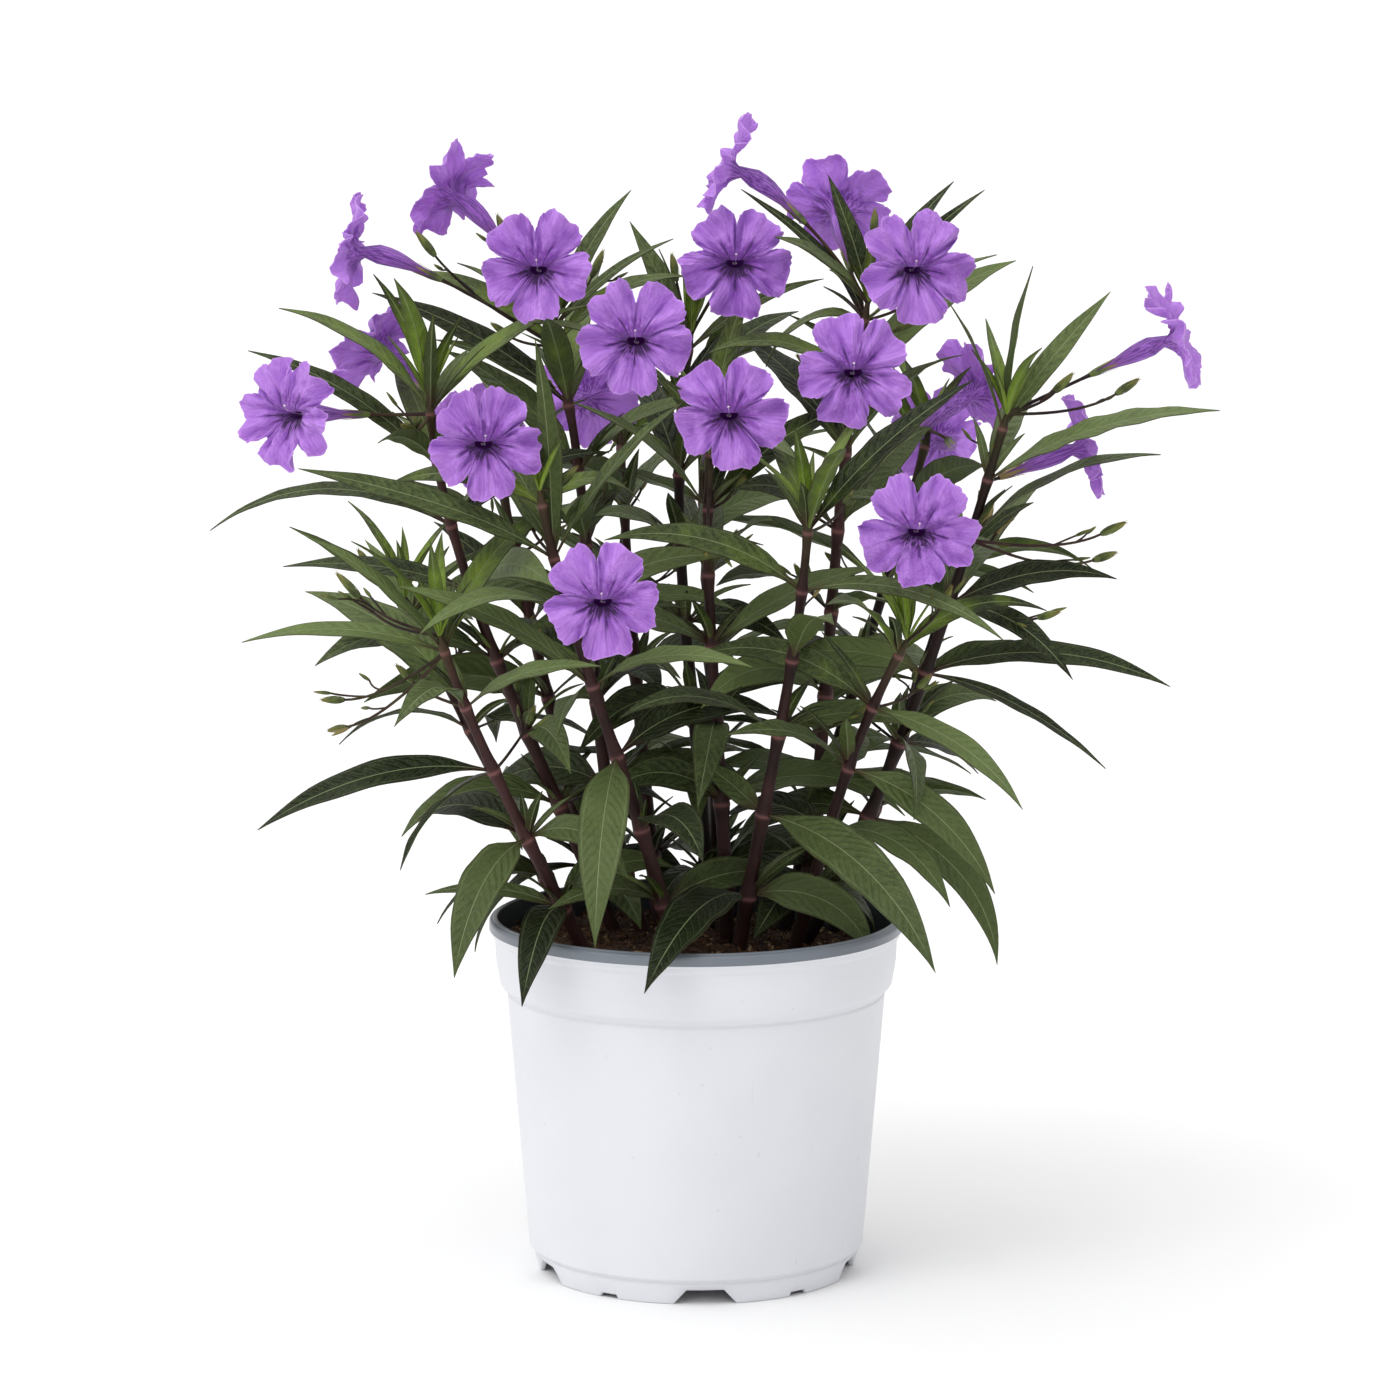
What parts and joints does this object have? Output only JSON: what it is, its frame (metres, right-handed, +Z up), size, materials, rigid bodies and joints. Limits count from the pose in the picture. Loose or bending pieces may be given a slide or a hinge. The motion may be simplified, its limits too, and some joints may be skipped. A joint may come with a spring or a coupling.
{
  "type": "potted mexican petunia",
  "caption": "Flowering perennial with narrow dark leaves and violet trumpet blooms on dark stems, growing in a round white nursery pot.",
  "frame": {"origin": "centre of the pot foot on the surface it stands on, which is also the middle of the plant seen from above", "axes": "+Z up along the pot axis, -Y towards the front of the plant, +X to the right seen from the front"},
  "size_m": [0.401, 0.31, 0.4702],
  "materials": {
    "pot_plastic": "satin thermoformed plastic, white outside, grey lip and inside",
    "potting_soil": "rough, fibrous and dark, with light crumbs",
    "foliage": "satin dark green leaves with pale midribs on dark purple-brown stems",
    "petal": "soft crinkled violet petals, darker in the throat"
  },
  "bodies": {
    "root": {"pot": "pot_plastic", "soil": "potting_soil", "stem_a": "foliage", "stem_b": "foliage", "stem_c": "foliage", "stem_d": "foliage", "stem_e": "foliage", "stem_f": "foliage", "stem_g": "foliage", "stem_h": "foliage", "stem_i": "foliage", "stem_j": "foliage", "stem_k": "foliage", "stem_l": "foliage", "stem_m": "foliage", "stem_n": "foliage", "stem_o": "foliage", "stem_p": "foliage", "bloom_01": "petal", "bloom_02": "petal", "bloom_03": "petal", "bloom_04": "petal", "bloom_05": "petal", "bloom_06": "petal", "bloom_07": "petal", "bloom_08": "petal", "bloom_09": "petal", "bloom_10": "petal", "bloom_11": "petal", "bloom_12": "petal", "bloom_13": "petal", "bloom_14": "petal", "bloom_15": "petal", "bloom_16": "petal", "bloom_17": "petal", "bloom_18": "petal", "bloom_19": "petal", "bloom_20": "petal", "bloom_21": "petal", "bloom_22": "petal", "bloom_23": "petal", "bloom_24": "petal"}
  },
  "joints": []
}
